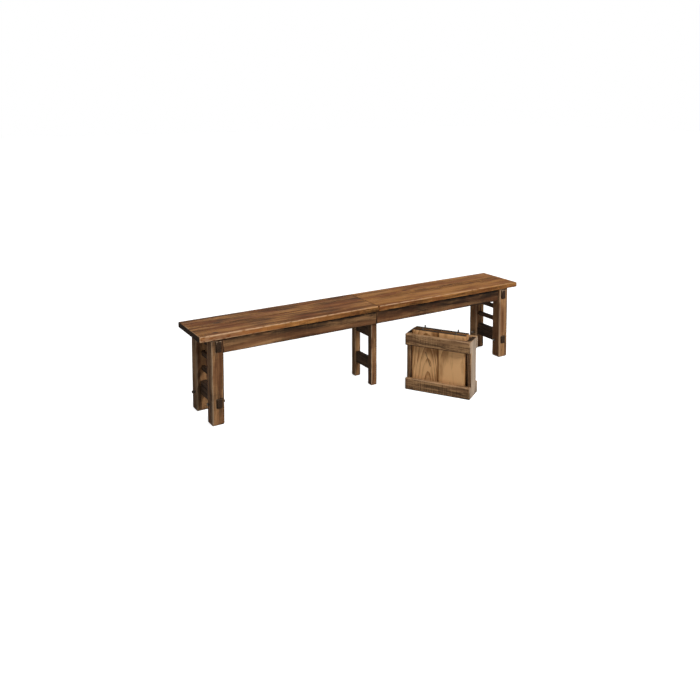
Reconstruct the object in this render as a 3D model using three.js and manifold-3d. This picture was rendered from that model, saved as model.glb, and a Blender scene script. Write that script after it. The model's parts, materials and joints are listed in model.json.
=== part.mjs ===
// Extending monks bench with its crate of two leaves.
// Millimetres, +Z up, +X along the bench, the front is -Y, the floor is z = 0.
import * as THREE from 'three';
import { mergeVertices } from 'three/addons/utils/BufferGeometryUtils.js';
import Module from 'manifold-3d';

const wasm = await Module();
wasm.setup();

// Driving dimensions of the bench
const seatLength = 2032;
const seatDepth = 305;
const seatHeight = 457;
const seatThickness = 30;
const leafLength = 305;

// Clearances
const fit = 0.3;
const slideFit = 0.5;
const runningFit = 0.06;
const jointGap = 0.4;
const seamGap = 0.6;
const overrun = 5;

// End legs and their easing
const legWidth = 66;
const legInset = 13;
const endOverhang = 62;
const legArrisWidth = 5;
const boardArrisWidth = 3;
const smallArrisWidth = 1.5;

// Aprons under the long edges of the seat
const apronHeight = 76;
const apronThickness = 20;
const apronInset = 24;
const apronTenonLength = 11;
const apronTenonThickness = 10;
const apronTenonHeight = 54;

// End frame rails, slats and stretcher
const railThickness = 32;
const topRailHeight = 63;
const railTenonHeight = 55;
const stretcherHeight = 74;
const stretcherBottom = 87;
const stretcherTenonHeight = 45;
const tenonThickness = 28;
const tenonOffset = 38;
const tenonProud = 6;
const slatHeight = 26;
const slatThickness = 20;
const slatTenonLength = 22;
const slatTenonThickness = 12;
const slatTenonHeight = 20;

// Pegs that lock the through tenons
const pegRadius = 7;
const pegInset = 44;
const pegHeight = 100;
const pegProud = 8;
const pegSides = 10;

// Centre frame that stands under the joint of the seat
const centreLegWidth = 38;
const centreLegPlay = 4;
const centreLegArrisWidth = 3;
const centreRailThickness = 22;
const centreRailHeight = 94;
const centreStretcherBottom = 81;
const centreStretcherHeight = 66;
const centreTenonLength = 20;
const centreTenonThickness = 12;
const centreTenonShoulder = 8;

// Cleats across the underside of each half
const cleatWidth = 60;
const cleatThickness = 22;
const cleatPlaceShares = [0.15, 0.42, 0.68];
const cleatNames = ['inner', 'middle', 'outer'];

// Wooden extension slides
const runnerHeight = 43;
const runnerThicknessShare = 0.315;
const runnerTailGap = 4;
const runnerLead = 330;
const memberReach = 400;
const memberDrop = 2;
const memberHeight = 46;
const grooveDepthShare = 0.32;
const grooveHeight = 10;
const laneGap = 2.5;
const railClearance = 2.5;
const tieWidth = 30;
const tieHeight = 12;
const tiePlace = 380;

// Rack and pinion that keep both halves in step
const gearModule = 2;
const pinionTeeth = 12;
const pressureAngle = THREE.MathUtils.degToRad(25);
const toothBacklash = 0.25;
const dedendumShare = 1.25;
const pinionHeight = 16;
const rackHeight = 20;
const rackBack = 4.5;
const rackMargin = 15;
const axleRadius = 4;
const axleDepth = 25;
const axleHeadRadius = 8;
const axleHeadHeight = 3;
const roundSides = 16;

// Steel pins that align the halves and the leaves
const pinRadius = 4;
const pinReach = 15;
const pinBury = 26;
const pinPlaceShare = 0.31;
const pinSides = 12;

// Crate of two leaves, standing on the floor in front of the right half
const crateSideThickness = 25;
const crateBandThickness = 24;
const crateBandHeight = 65;
const crateFloorThickness = 15;
const crateFloorBottom = 11;
const crateCornerX = 109;
const crateCornerFront = 90;
const crateTurn = THREE.MathUtils.degToRad(-58);
const leafStandoutHeight = 20;
const leafSideGap = 6.5;
const leafFrontGap = 5;
const leafMiddleGap = 8;
const leafBackGap = 14;
const leafShiftShare = -0.6;

// Heights and depths that follow from the sizes above
const halfLength = seatLength / 2;
const halfDepth = seatDepth / 2;
const seatUnder = seatHeight - seatThickness;
const frameTop = seatUnder - fit;
const apronBottom = seatUnder - apronHeight;
const legFace = halfDepth - legInset;
const legInnerFace = legFace - legWidth;
const apronFace = halfDepth - apronInset;
const apronInnerFace = apronFace - apronThickness;
const legOuter = halfLength - endOverhang;
const legInner = legOuter - legWidth;
const tenonPlace = legOuter - tenonOffset;
const cleatBottom = frameTop - cleatThickness;
const runnerTop = cleatBottom - slideFit;
const runnerBottom = runnerTop - runnerHeight;
const memberTop = runnerTop - memberDrop;
const memberBottom = memberTop - memberHeight;
const centreRailTop = runnerBottom - railClearance;
const centreRailBottom = centreRailTop - centreRailHeight;
const centreLegFace = apronInnerFace - centreLegPlay;
const centreLegInnerFace = centreLegFace - centreLegWidth;
const grooveMiddle = runnerBottom + runnerHeight / 2;
const runnerTail = cleatPlaceShares.at(-1) * halfLength + cleatWidth / 2 + runnerTailGap;
const slideTravel = leafLength;
const pinPlace = seatDepth * pinPlaceShare;
const pinHeight = seatHeight - seatThickness / 2;
const leafBottom = crateFloorBottom + crateFloorThickness + fit;
const leafTop = leafBottom + leafLength;
const crateHeight = leafTop - leafStandoutHeight;
const crateWidth = seatDepth + 2 * (leafSideGap + crateSideThickness);
const leafPackDepth = 2 * seatThickness + leafMiddleGap;
const crateDepth = 2 * crateBandThickness + leafFrontGap + leafPackDepth + leafBackGap;

// Lanes of the slide, measured outwards from the pinion's axis
const pitchRadius = gearModule * pinionTeeth / 2;
const rackOuter = pitchRadius + gearModule * dedendumShare + rackBack;
const innerRunnerNear = rackOuter + fit;
const laneWidth = centreLegInnerFace - laneGap - innerRunnerNear - 2 * slideFit;
const runnerThickness = laneWidth * runnerThicknessShare;
const memberThickness = laneWidth - 2 * runnerThickness;
const grooveDepth = memberThickness * grooveDepthShare;
const tongueLength = grooveDepth - slideFit;
const innerRunnerFar = innerRunnerNear + runnerThickness;
const memberNear = innerRunnerFar + slideFit;
const memberFar = memberNear + memberThickness;
const outerRunnerNear = memberFar + slideFit;
const outerRunnerFar = outerRunnerNear + runnerThickness;

const bench = new THREE.Group();
const crate = new THREE.Group();

// Finishes
const finishes = {
  seat: { color: 0x8a6040, roughness: 0.55, metalness: 0 },
  frame: { color: 0x6d4f36, roughness: 0.7, metalness: 0 },
  under: { color: 0x54402d, roughness: 0.85, metalness: 0 },
  crate: { color: 0x6b5038, roughness: 0.85, metalness: 0 },
  leaf: { color: 0xb88a5c, roughness: 0.75, metalness: 0 },
  slide: { color: 0xc09a68, roughness: 0.6, metalness: 0 },
  steel: { color: 0x8c8a86, roughness: 0.4, metalness: 1 },
  peg: { color: 0x2f241b, roughness: 0.8, metalness: 0 },
};

// A closed geometry as a solid that can be cut and joined
function solidOf(geometry) {
  const bare = geometry.clone();
  bare.deleteAttribute('normal');
  bare.deleteAttribute('uv');
  const merged = mergeVertices(bare);
  return new wasm.Manifold(new wasm.Mesh({
    numProp: 3,
    vertProperties: new Float32Array(merged.attributes.position.array),
    triVerts: new Uint32Array(merged.index.array),
  }));
}

// A solid as a mesh that sits at its own centre, in the group that carries it
function place(parent, name, finish, solid) {
  const cut = solid.getMesh();
  const geometry = new THREE.BufferGeometry();
  geometry.setAttribute('position', new THREE.BufferAttribute(new Float32Array(cut.vertProperties), 3));
  geometry.setIndex(new THREE.BufferAttribute(new Uint32Array(cut.triVerts), 1));
  geometry.computeBoundingBox();
  const centre = geometry.boundingBox.getCenter(new THREE.Vector3());
  geometry.translate(-centre.x, -centre.y, -centre.z);
  geometry.computeVertexNormals();
  const mesh = new THREE.Mesh(geometry, new THREE.MeshStandardMaterial(finishes[finish]));
  mesh.name = name;
  mesh.position.copy(centre);
  parent.add(mesh);
}

function unionOf(solids) {
  return solids.reduce((whole, solid) => whole.add(solid));
}

function cutAway(solid, cutters) {
  return cutters.reduce((rest, cutter) => rest.subtract(cutter), solid);
}

// Turns a shape drawn in XY and extruded along Z so that it is extruded along X, Y or Z
const alongX = new THREE.Matrix4().set(0, 0, 1, 0, 1, 0, 0, 0, 0, 1, 0, 0, 0, 0, 0, 1);
const alongY = new THREE.Matrix4().set(0, 1, 0, 0, 0, 0, 1, 0, 1, 0, 0, 0, 0, 0, 0, 1);
const alongZ = new THREE.Matrix4();

function sorted(span) {
  return [Math.min(...span), Math.max(...span)];
}

// A sawn board with all its arrises eased, filling the three spans, its length along the longest
function board(xs, ys, zs, arris = boardArrisWidth) {
  const spans = [sorted(xs), sorted(ys), sorted(zs)];
  const sizes = spans.map(([low, high]) => high - low);
  const long = sizes.indexOf(Math.max(...sizes));
  const width = sizes[(long + 1) % 3] / 2;
  const depth = sizes[(long + 2) % 3] / 2;
  const outline = new THREE.Shape([
    new THREE.Vector2(-width + arris, -depth),
    new THREE.Vector2(width - arris, -depth),
    new THREE.Vector2(width, -depth + arris),
    new THREE.Vector2(width, depth - arris),
    new THREE.Vector2(width - arris, depth),
    new THREE.Vector2(-width + arris, depth),
    new THREE.Vector2(-width, depth - arris),
    new THREE.Vector2(-width, -depth + arris),
  ]);
  const run = sizes[long] - 2 * arris;
  const geometry = new THREE.ExtrudeGeometry(outline, {
    depth: run, bevelThickness: arris, bevelSize: arris, bevelOffset: -arris, bevelSegments: 1,
  });
  geometry.translate(0, 0, -run / 2);
  geometry.applyMatrix4([alongX, alongY, alongZ][long]);
  geometry.translate(...spans.map(([low, high]) => (low + high) / 2));
  return solidOf(geometry);
}

// A plain block, used as a cutter
function block(xs, ys, zs) {
  const spans = [xs, ys, zs].map(sorted);
  const geometry = new THREE.BoxGeometry(...spans.map(([low, high]) => high - low));
  geometry.translate(...spans.map(([low, high]) => (low + high) / 2));
  return solidOf(geometry);
}

// A round rod or cutter between two ends along one axis
function rod(axis, span, [a, b], radius, sides) {
  const [low, high] = sorted(span);
  const geometry = new THREE.CylinderGeometry(radius, radius, high - low, sides);
  geometry.rotateX(Math.PI / 2);
  geometry.applyMatrix4({ x: alongX, y: alongY, z: alongZ }[axis]);
  const middle = (low + high) / 2;
  const centre = { x: [middle, a, b], y: [b, middle, a], z: [a, b, middle] }[axis];
  geometry.translate(...centre);
  return solidOf(geometry);
}

// A turned piece about a vertical axis, from a profile of radius and height that closes on the axis
function turned(profile, x, y, sides) {
  const geometry = new THREE.LatheGeometry(profile.map(([r, z]) => new THREE.Vector2(r, z)), sides);
  geometry.rotateX(Math.PI / 2);
  geometry.translate(x, y, 0);
  return solidOf(geometry);
}

// A section drawn in Y and Z, run along X
function runAlongX(points, xs) {
  const [low, high] = sorted(xs);
  const outline = new THREE.Shape(points.map(([y, z]) => new THREE.Vector2(y, z)));
  const geometry = new THREE.ExtrudeGeometry(outline, { depth: high - low, bevelEnabled: false });
  geometry.applyMatrix4(alongX);
  geometry.translate(low, 0, 0);
  return solidOf(geometry);
}

// End frame: two legs, a top rail, two slats and a stretcher
const openHeight = frameTop - topRailHeight - stretcherBottom - stretcherHeight;
const slatGap = (openHeight - 2 * slatHeight) / 3;
const lowerSlatBottom = stretcherBottom + stretcherHeight + slatGap;
const upperSlatBottom = lowerSlatBottom + slatHeight + slatGap;
const railTenonBottom = frameTop - topRailHeight;
const pegPlace = legFace - pegInset;

function throughTenon(side, low, high, gap) {
  const reach = legFace + tenonProud;
  const thickness = tenonThickness / 2 + gap;
  const xs = [side * tenonPlace - thickness, side * tenonPlace + thickness];
  return { xs, ys: [-reach - gap, reach + gap], zs: [low - gap, high + gap] };
}

function pegHole(side, end) {
  const xs = [side * (legInner - overrun), side * (legOuter + overrun)];
  return rod('x', xs, [end * pegPlace, pegHeight], pegRadius + fit, pegSides);
}

function peg(side, end) {
  const xs = [side * (legInner - pegProud), side * (legOuter + pegProud)];
  return rod('x', xs, [end * pegPlace, pegHeight], pegRadius, pegSides);
}

function tenonedRail(side, bottom, height, tenonHeight) {
  const half = railThickness / 2;
  const xs = [side * tenonPlace - half, side * tenonPlace + half];
  const shoulder = legInnerFace - fit;
  const body = board(xs, [-shoulder, shoulder], [bottom, bottom + height]);
  const tenon = throughTenon(side, bottom, bottom + tenonHeight, 0);
  return body.add(board(tenon.xs, tenon.ys, tenon.zs, smallArrisWidth));
}

function slatSpans(side, bottom, gap) {
  const half = slatTenonThickness / 2 + gap;
  const reach = legInnerFace + slatTenonLength + gap;
  const low = bottom + (slatHeight - slatTenonHeight) / 2 - gap;
  const xs = [side * tenonPlace - half, side * tenonPlace + half];
  return { xs, ys: [-reach, reach], zs: [low, low + slatTenonHeight + 2 * gap] };
}

function slat(side, bottom) {
  const half = slatThickness / 2;
  const shoulder = legInnerFace - fit;
  const xs = [side * tenonPlace - half, side * tenonPlace + half];
  const body = board(xs, [-shoulder, shoulder], [bottom, bottom + slatHeight]);
  const tenon = slatSpans(side, bottom, 0);
  return body.add(board(tenon.xs, tenon.ys, tenon.zs, smallArrisWidth));
}

function apronTenon(side, end, gap) {
  const middle = end * (apronFace - apronThickness / 2);
  const half = apronTenonThickness / 2 + gap;
  const low = apronBottom + (apronHeight - apronTenonHeight) / 2 - gap;
  return {
    xs: [side * (legInner - overrun), side * (legInner + apronTenonLength + gap)],
    ys: [middle - half, middle + half],
    zs: [low, low + apronTenonHeight + 2 * gap],
  };
}

function apron(side, end) {
  const xs = [side * jointGap / 2, side * (legInner - fit)];
  const body = board(xs, [end * apronFace, end * apronInnerFace], [apronBottom, frameTop], smallArrisWidth);
  const tenon = apronTenon(side, end, 0);
  return body.add(board(tenon.xs, tenon.ys, tenon.zs, smallArrisWidth));
}

function endLeg(side, end) {
  const post = board([side * legInner, side * legOuter], [end * legInnerFace, end * legFace], [0, frameTop], legArrisWidth);
  const rail = throughTenon(side, railTenonBottom, railTenonBottom + railTenonHeight, fit);
  const stretcher = throughTenon(side, stretcherBottom, stretcherBottom + stretcherTenonHeight, fit);
  const slats = [lowerSlatBottom, upperSlatBottom].map((bottom) => slatSpans(side, bottom, fit));
  const mortises = [rail, stretcher, ...slats, apronTenon(side, end, fit)];
  return cutAway(post, [
    ...mortises.map(({ xs, ys, zs }) => block(xs, ys, zs)),
    pegHole(side, end),
  ]);
}

// Planes a board's edge square along the seam, so that it closes against the next board
function planed(solid, axis, seam, hand) {
  const spans = [0, 1, 2].map(() => [-seatLength, seatLength]);
  spans[axis] = [-hand * seatLength, seam + hand * seamGap / 2];
  return solid.subtract(block(...spans));
}

// Seat boards and cleats of one half
function seatBoard(side, end) {
  const xs = [side * jointGap / 2, side * halfLength];
  const sawn = board(xs, [-end * overrun, end * halfDepth], [seatUnder, seatHeight]);
  const body = planed(sawn, 1, 0, end);
  const depth = side > 0 ? pinBury + fit : pinReach + slideFit;
  const hole = [-side * overrun, side * depth];
  return body.subtract(rod('x', hole, [end * pinPlace, pinHeight], pinRadius + fit, pinSides));
}

function cleat(side, share) {
  const middle = side * share * halfLength;
  const reach = apronInnerFace - fit;
  return board([middle - cleatWidth / 2, middle + cleatWidth / 2], [-reach, reach], [cleatBottom, frameTop]);
}

// Slide runners of one half: an inner one that carries the rack and an outer one in the far lane
function runner(side, lane, near, far, tongueOutwards) {
  const face = tongueOutwards ? far : near;
  const back = tongueOutwards ? near : far;
  const tip = face + (tongueOutwards ? tongueLength : -tongueLength);
  const half = grooveHeight / 2 - slideFit;
  const section = [
    [back, runnerBottom],
    [face, runnerBottom],
    [face, grooveMiddle - half],
    [tip, grooveMiddle - half],
    [tip, grooveMiddle + half],
    [face, grooveMiddle + half],
    [face, runnerTop],
    [back, runnerTop],
  ].map(([y, z]) => [lane * y, z]);
  if (lane > 0 !== tongueOutwards) {
    section.reverse();
  }
  return runAlongX(section, [side * runnerTail, -side * runnerLead]);
}

// Straight rack whose tooth gap is centred on x = 0, with its teeth towards +Y
const toothPitch = Math.PI * gearModule;
const toothHalf = toothPitch / 4 - toothBacklash / 2;
const toothSlope = Math.tan(pressureAngle);
const dedendum = gearModule * dedendumShare;

function rack(side) {
  const start = -rackMargin;
  const end = slideTravel + rackMargin;
  const count = Math.floor((end - start) / toothPitch);
  const first = Math.ceil((start + toothPitch / 2) / toothPitch);
  const root = -pitchRadius - dedendum;
  const tip = -pitchRadius + gearModule;
  const outline = [[start, -rackOuter], [end, -rackOuter], [end, root]];
  for (let tooth = first + count - 2; tooth >= first; tooth -= 1) {
    const middle = (tooth + 1 / 2) * toothPitch;
    const rootHalf = toothHalf + dedendum * toothSlope;
    const tipHalf = toothHalf - gearModule * toothSlope;
    outline.push([middle + rootHalf, root]);
    outline.push([middle + tipHalf, tip]);
    outline.push([middle - tipHalf, tip]);
    outline.push([middle - rootHalf, root]);
  }
  outline.push([start, root]);
  const shape = new THREE.Shape(outline.map(([x, y]) => new THREE.Vector2(x, y)));
  const geometry = new THREE.ExtrudeGeometry(shape, { depth: rackHeight, bevelEnabled: false });
  geometry.translate(0, 0, grooveMiddle - rackHeight / 2);
  if (side > 0) {
    geometry.rotateZ(Math.PI);
  }
  return solidOf(geometry);
}

// Spur pinion with involute flanks, one tooth pointing at each rack
function involute(angle) {
  return Math.tan(angle) - angle;
}

function pinion() {
  const base = pitchRadius * Math.cos(pressureAngle);
  const tip = pitchRadius + gearModule;
  const root = pitchRadius - dedendum;
  const radii = [base, pitchRadius - gearModule / 4, pitchRadius, pitchRadius + gearModule / 2, tip];
  const halfAngle = (radius) => toothHalf / pitchRadius + involute(pressureAngle)
    - involute(Math.acos(Math.min(1, base / radius)));
  const flank = [[root, halfAngle(base)], ...radii.map((radius) => [radius, halfAngle(radius)])];
  const points = [];
  for (let tooth = 0; tooth < pinionTeeth; tooth += 1) {
    const turn = 2 * Math.PI * tooth / pinionTeeth;
    flank.forEach(([radius, angle]) => points.push([radius, turn - angle]));
    [...flank].reverse().forEach(([radius, angle]) => points.push([radius, turn + angle]));
  }
  const shape = new THREE.Shape(points.map(
    ([radius, angle]) => new THREE.Vector2(radius * Math.cos(angle), radius * Math.sin(angle)),
  ));
  const geometry = new THREE.ExtrudeGeometry(shape, { depth: pinionHeight, bevelEnabled: false });
  geometry.translate(0, 0, pinionBottom);
  const boreRadius = (axleRadius + runningFit) / Math.cos(Math.PI / roundSides);
  const bore = rod('z', [pinionBottom - overrun, pinionTop + overrun], [0, 0], boreRadius, roundSides);
  return solidOf(geometry).subtract(bore);
}

const pinionBottom = grooveMiddle - pinionHeight / 2;
const pinionTop = pinionBottom + pinionHeight;

function axle() {
  return turned([
    [0, centreRailTop - axleDepth],
    [axleRadius, centreRailTop - axleDepth],
    [axleRadius, centreRailTop + fit],
    [axleHeadRadius, centreRailTop + fit],
    [axleHeadRadius, pinionBottom - fit],
    [axleRadius, pinionBottom - fit],
    [axleRadius, pinionTop + fit],
    [axleHeadRadius, pinionTop + fit],
    [axleHeadRadius, pinionTop + fit + axleHeadHeight],
    [0, pinionTop + fit + axleHeadHeight],
  ], 0, 0, roundSides);
}

// Centre frame
function centreTenon(end, bottom, height, gap) {
  const half = centreTenonThickness / 2 + gap;
  return {
    xs: [-half, half],
    ys: [end * (centreLegInnerFace - overrun), end * (centreLegInnerFace + centreTenonLength + gap)],
    zs: [bottom + centreTenonShoulder - gap, bottom + height - centreTenonShoulder + gap],
  };
}

const centreRails = {
  rail: [centreRailBottom, centreRailHeight],
  stretcher: [centreStretcherBottom, centreStretcherHeight],
};

function centreBar([bottom, height]) {
  const half = centreRailThickness / 2;
  const shoulder = centreLegInnerFace - fit;
  const body = board([-half, half], [-shoulder, shoulder], [bottom, bottom + height], smallArrisWidth);
  const tenons = [-1, 1].map((end) => centreTenon(end, bottom, height, 0));
  return unionOf([body, ...tenons.map(({ xs, ys, zs }) => board(xs, ys, zs, smallArrisWidth))]);
}

function centreRail() {
  const half = centreRailThickness / 2 + overrun;
  const notches = [-1, 1].map((lane) => block(
    [-half, half], [lane * (memberNear - fit), lane * (memberFar + fit)], [memberBottom - fit, centreRailTop + overrun],
  ));
  const hole = rod(
    'z', [centreRailTop - axleDepth - fit, centreRailTop + overrun], [0, 0], axleRadius + fit, roundSides,
  );
  return cutAway(centreBar(centreRails.rail), [...notches, hole]);
}

function centreLeg(end) {
  const half = centreLegWidth / 2;
  const ys = [end * centreLegInnerFace, end * centreLegFace];
  const post = board([-half, half], ys, [0, seatUnder - slideFit], centreLegArrisWidth);
  const tenons = Object.values(centreRails).map(([bottom, height]) => centreTenon(end, bottom, height, fit));
  return cutAway(post, tenons.map(({ xs, ys: depth, zs }) => block(xs, depth, zs)));
}

function slideMember(lane) {
  const low = grooveMiddle - grooveHeight / 2;
  const high = grooveMiddle + grooveHeight / 2;
  const section = [
    [memberNear, memberBottom],
    [memberFar, memberBottom],
    [memberFar, low],
    [memberFar - grooveDepth, low],
    [memberFar - grooveDepth, high],
    [memberFar, high],
    [memberFar, memberTop],
    [memberNear, memberTop],
    [memberNear, high],
    [memberNear + grooveDepth, high],
    [memberNear + grooveDepth, low],
    [memberNear, low],
  ].map(([y, z]) => [lane * y, z]);
  if (lane < 0) {
    section.reverse();
  }
  return runAlongX(section, [-memberReach, memberReach]);
}

function slideTie(side) {
  const xs = [side * tiePlace - tieWidth / 2, side * tiePlace + tieWidth / 2];
  const top = memberBottom - fit;
  return board(xs, [-memberFar, memberFar], [top - tieHeight, top], smallArrisWidth);
}

// The two halves of the bench
for (const [side, label] of [[-1, 'left'], [1, 'right']]) {
  const half = new THREE.Group();
  bench.add(half);
  for (const [end, where] of [[-1, 'front'], [1, 'back']]) {
    place(half, `${label}_seat_board_${where}`, 'seat', seatBoard(side, end));
    place(half, `${label}_apron_${where}`, 'frame', apron(side, end));
    place(half, `${label}_leg_${where}`, 'frame', endLeg(side, end));
    place(half, `${label}_peg_${where}`, 'peg', peg(side, end));
    if (side > 0) {
      const pinSpan = [-pinReach, pinBury];
      place(half, `joint_pin_${where}`, 'steel', rod('x', pinSpan, [end * pinPlace, pinHeight], pinRadius, pinSides));
    }
  }
  place(half, `${label}_top_rail`, 'under',
    tenonedRail(side, railTenonBottom, topRailHeight, railTenonHeight));
  place(half, `${label}_stretcher`, 'under', cutAway(
    tenonedRail(side, stretcherBottom, stretcherHeight, stretcherTenonHeight),
    [-1, 1].map((end) => pegHole(side, end)),
  ));
  place(half, `${label}_upper_slat`, 'under', slat(side, upperSlatBottom));
  place(half, `${label}_lower_slat`, 'under', slat(side, lowerSlatBottom));
  cleatPlaceShares.forEach((share, index) => {
    place(half, `${label}_cleat_${cleatNames[index]}`, 'under', cleat(side, share));
  });
  place(half, `${label}_inner_runner`, 'slide', runner(side, side, innerRunnerNear, innerRunnerFar, true));
  place(half, `${label}_outer_runner`, 'slide', runner(side, -side, outerRunnerNear, outerRunnerFar, false));
  place(half, `${label}_rack`, 'steel', rack(side));
}

// The centre frame, its slide members and the pinion
place(bench, 'centre_leg_front', 'frame', centreLeg(-1));
place(bench, 'centre_leg_back', 'frame', centreLeg(1));
place(bench, 'centre_rail', 'under', centreRail());
place(bench, 'centre_stretcher', 'under', centreBar(centreRails.stretcher));
place(bench, 'slide_member_front', 'slide', slideMember(-1));
place(bench, 'slide_member_back', 'slide', slideMember(1));
place(bench, 'slide_tie_left', 'slide', slideTie(-1));
place(bench, 'slide_tie_right', 'slide', slideTie(1));
place(bench, 'pinion', 'steel', pinion());
place(bench, 'pinion_axle', 'steel', axle());

// Crate, drawn with its front left bottom corner at the origin and its front along X
const crateBack = crateDepth - crateBandThickness;
const bandLevels = { bottom: 0, top: crateHeight - crateBandHeight };
const leafLeft = crateSideThickness + leafSideGap * (1 + leafShiftShare);

function crateBand(back, level) {
  const ys = back ? [crateBack, crateDepth] : [0, crateBandThickness];
  return board([0, crateWidth], ys, [level, level + crateBandHeight]);
}

function crateSide(x) {
  const ys = [crateBandThickness + fit, crateBack - fit];
  return board([x, x + crateSideThickness], ys, [0, crateHeight]);
}

place(crate, 'crate_side_left', 'crate', crateSide(0));
place(crate, 'crate_side_right', 'crate', crateSide(crateWidth - crateSideThickness));
for (const [name, level] of Object.entries(bandLevels)) {
  place(crate, `crate_band_front_${name}`, 'crate', crateBand(false, level));
  place(crate, `crate_band_back_${name}`, 'crate', crateBand(true, level));
}
place(crate, 'crate_floor', 'crate', board(
  [crateSideThickness + fit, crateWidth - crateSideThickness - fit],
  [crateBandThickness + fit, crateBack - fit],
  [crateFloorBottom, crateFloorBottom + crateFloorThickness],
  smallArrisWidth,
));

// Leaves stood on end in the crate, pins up, undersides outwards
const leafMiddle = leafLeft + halfDepth;
for (const [label, near] of [
  ['front', crateBandThickness + leafFrontGap],
  ['back', crateBandThickness + leafFrontGap + seatThickness + leafMiddleGap],
]) {
  const ys = [near, near + seatThickness];
  const level = near + seatThickness / 2;
  for (const [hand, name] of [[-1, 'left'], [1, 'right']]) {
    const xs = [leafMiddle - hand * overrun, leafMiddle + hand * halfDepth];
    const at = [leafMiddle + hand * pinPlace, level];
    const socket = [leafBottom - overrun, leafBottom + pinReach + slideFit];
    const pin = [leafTop - pinBury, leafTop + pinReach];
    const slab = planed(board(xs, ys, [leafBottom, leafTop]), 0, leafMiddle, hand)
      .subtract(rod('z', socket, at, pinRadius + fit, pinSides))
      .add(rod('z', pin, at, pinRadius, pinSides));
    place(crate, `${label}_leaf_board_${name}`, 'leaf', slab);
  }
}

// The crate stands turned towards the viewer, and the whole is centred over its footprint
crate.rotation.z = crateTurn;
crate.position.set(crateCornerX, -halfDepth - crateCornerFront, 0);
const crateCornerReach = -crateWidth * Math.sin(crateTurn) - boardArrisWidth * Math.cos(crateTurn);
const crateReach = halfDepth + crateCornerFront + crateCornerReach;
bench.add(crate);
bench.position.y = (crateReach - halfDepth) / 2;

const whole = new THREE.Group();
whole.add(bench);
export default whole;
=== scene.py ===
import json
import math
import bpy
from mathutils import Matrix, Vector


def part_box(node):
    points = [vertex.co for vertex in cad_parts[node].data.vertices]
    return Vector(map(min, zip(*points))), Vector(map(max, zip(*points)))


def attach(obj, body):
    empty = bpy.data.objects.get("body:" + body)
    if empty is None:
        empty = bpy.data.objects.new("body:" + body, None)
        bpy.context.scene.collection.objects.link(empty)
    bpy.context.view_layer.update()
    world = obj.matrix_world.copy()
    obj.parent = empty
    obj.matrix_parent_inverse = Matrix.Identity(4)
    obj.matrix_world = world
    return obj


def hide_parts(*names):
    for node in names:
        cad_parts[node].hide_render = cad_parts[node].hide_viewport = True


bl_info = {
    "name": "Extending monks bench",
    "version": (1, 0, 0),
    "blender": (4, 5, 0),
    "location": "View3D > Sidebar > Bench",
    "description": "Rough-sawn finish of an extending bench and its crate of leaves",
    "category": "Object",
}

import bmesh
import bpy
import numpy as np
from mathutils import Matrix, Vector
from mathutils.kdtree import KDTree

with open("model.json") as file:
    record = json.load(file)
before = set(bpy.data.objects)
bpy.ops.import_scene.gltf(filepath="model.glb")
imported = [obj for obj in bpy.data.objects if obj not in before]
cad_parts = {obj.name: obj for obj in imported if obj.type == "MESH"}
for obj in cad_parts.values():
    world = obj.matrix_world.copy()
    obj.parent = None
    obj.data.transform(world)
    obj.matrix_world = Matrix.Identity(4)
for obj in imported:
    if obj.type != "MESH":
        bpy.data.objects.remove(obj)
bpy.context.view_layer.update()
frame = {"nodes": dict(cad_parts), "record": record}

MM = 0.001
BODY_OF = {
    node: body
    for body, nodes in frame["record"]["behaviour"]["bodies"].items()
    for node in nodes
}
HALVES = ("left", "right")
ENDS = ("front", "back")
OUTWARDS = {"left": (-1, 0, 0), "right": (1, 0, 0), "front": (0, -1, 0), "back": (0, 1, 0)}
UP, DOWN = (0, 0, 1), (0, 0, -1)

# The crate stands turned about the vertical, as in the part
CRATE_TURN = math.radians(-58)
CRATE_FAMILIES = ("crate", "front_leaf", "back_leaf")

# Arrises this near to another board stay crisp
TIGHT_BAND = 8 * MM

# Edges of small turned parts that bend less than this look round
SMOOTH_BELOW = math.radians(35)

# Patterns of sawn wood: millimetres along and across the grain, and detail. Real fibres and pores
# are finer, and are drawn as coarse as they need to show
PATTERNS = {
    "patch": (150, 60, 3),  # where the stain dried in patches
    "redder": (210, 38, 2),  # where the stain took redder
    "cloud": (120, 45, 2),  # slow changes of colour in bare wood
    "fibre": (38, 1.9, 3),  # bundles of fibres
    "saw": (3.4, 70, 2),  # marks of the band saw, across the grain
    "pores": (30, 1.4, 2),  # pores, seen on end grain
    "split": (190, 11, 1),  # lines along which the wood may split as it dries
    "sway": (420, 120, 2),  # how the grain wanders along a board
}

# Sockets of a Mix node that mixes colours
FACTOR, FIRST, SECOND, MIXED = 0, 6, 7, 2


def linear(code):
    """Turns an sRGB hex colour into linear red, green, blue."""
    parts = [int(code[i:i + 2], 16) / 255 for i in (1, 3, 5)]
    return tuple(c / 12.92 if c <= 0.04045 else ((c + 0.055) / 1.055) ** 2.4 for c in parts)


def colour(name, code, text):
    """A colour that the user can change."""
    return bpy.props.FloatVectorProperty(
        name=name, description=text, subtype="COLOR", size=3, min=0, max=1, default=linear(code)
    )


def length(name, value, text):
    """A length that the user can change."""
    return bpy.props.FloatProperty(name=name, description=text, unit="LENGTH", default=value, min=0)


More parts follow.
